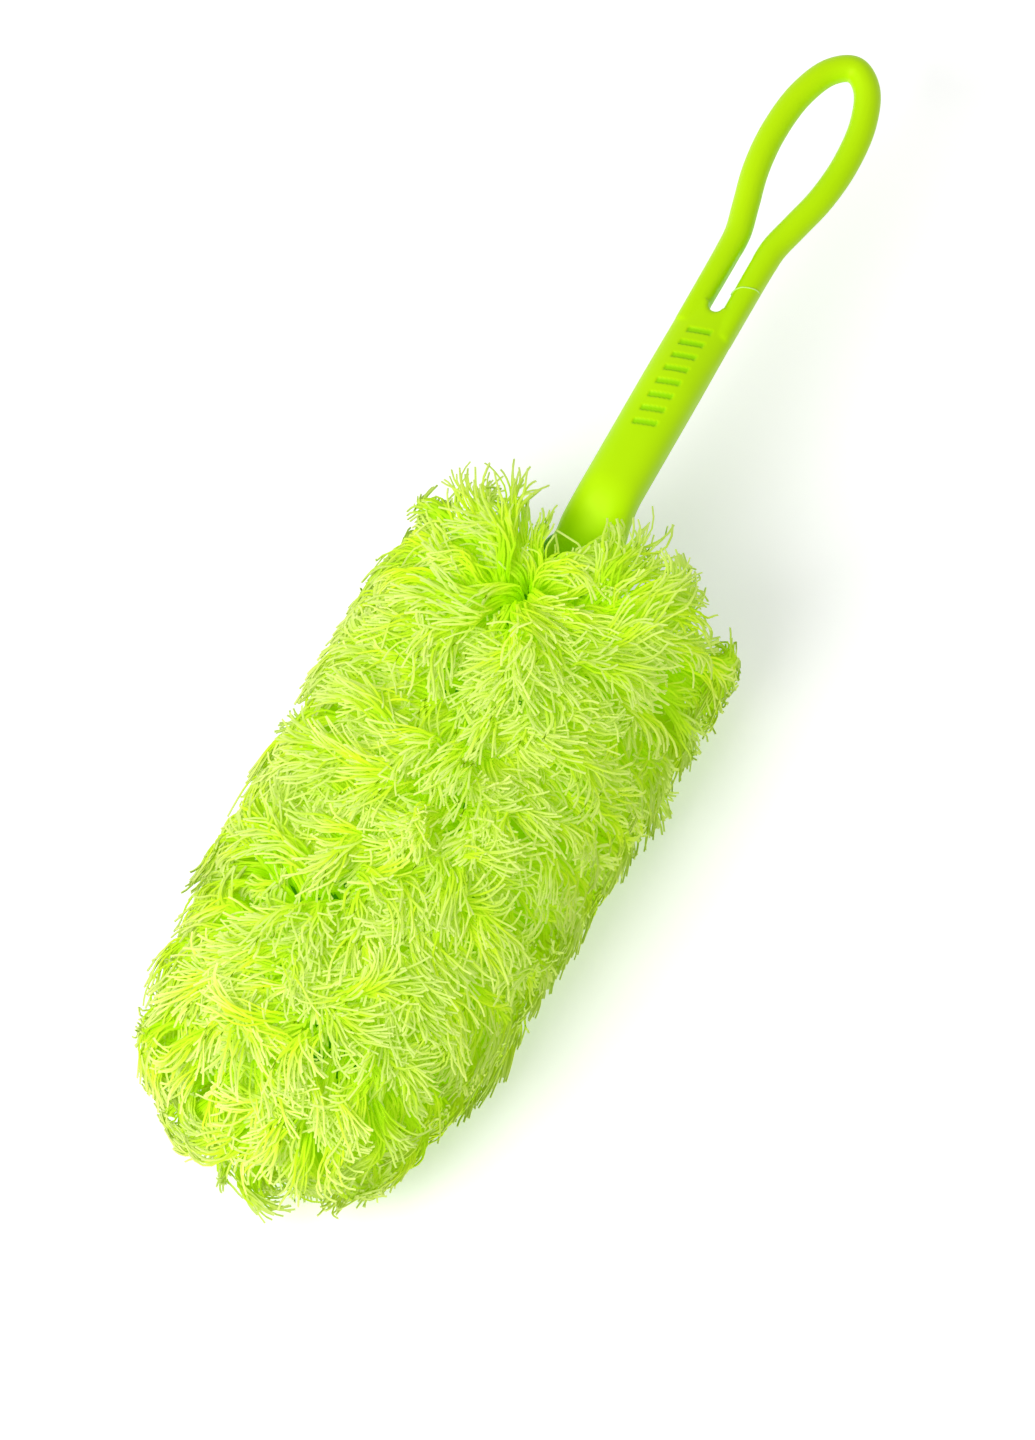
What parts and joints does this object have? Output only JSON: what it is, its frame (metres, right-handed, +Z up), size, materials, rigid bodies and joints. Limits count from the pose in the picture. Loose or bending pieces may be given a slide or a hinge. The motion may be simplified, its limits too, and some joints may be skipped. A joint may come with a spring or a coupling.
{
  "type": "hand duster",
  "caption": "Hand duster: a slim moulded handle with a hanging loop and a cranked neck, and a long soft head of microfibre strands that pulls off for washing.",
  "frame": {"origin": "on the floor under the middle of the object's box, head lying flat", "axes": "+X along the handle, from the head to the hanging loop; +Z up"},
  "size_m": [0.4392, 0.125, 0.0789],
  "materials": {
    "handle_plastic": "satin",
    "blade_plastic": "satin",
    "screw_steel": "satin",
    "microfibre": "soft pile",
    "lining_cloth": "plain weave",
    "wadding": "matt wadding",
    "binding_tape": "ribbed tape",
    "elastic": "woven elastic"
  },
  "bodies": {
    "handle": {"handle": "handle_plastic", "blade": "blade_plastic", "blade_screw_1": "screw_steel", "blade_screw_2": "screw_steel"},
    "sleeve": {"lining": "lining_cloth", "padding_top": "wadding", "padding_bottom": "wadding", "mouth_binding": "binding_tape", "mouth_elastic": "elastic", "pile_top": "microfibre", "pile_bottom": "microfibre", "pile_left": "microfibre", "pile_right": "microfibre"}
  },
  "joints": [
    {"name": "sleeve_pull_off", "type": "slide", "parent": "handle", "child": "sleeve", "axis": [-1, 0, 0], "range_m": [0, 0.2]}
  ]
}
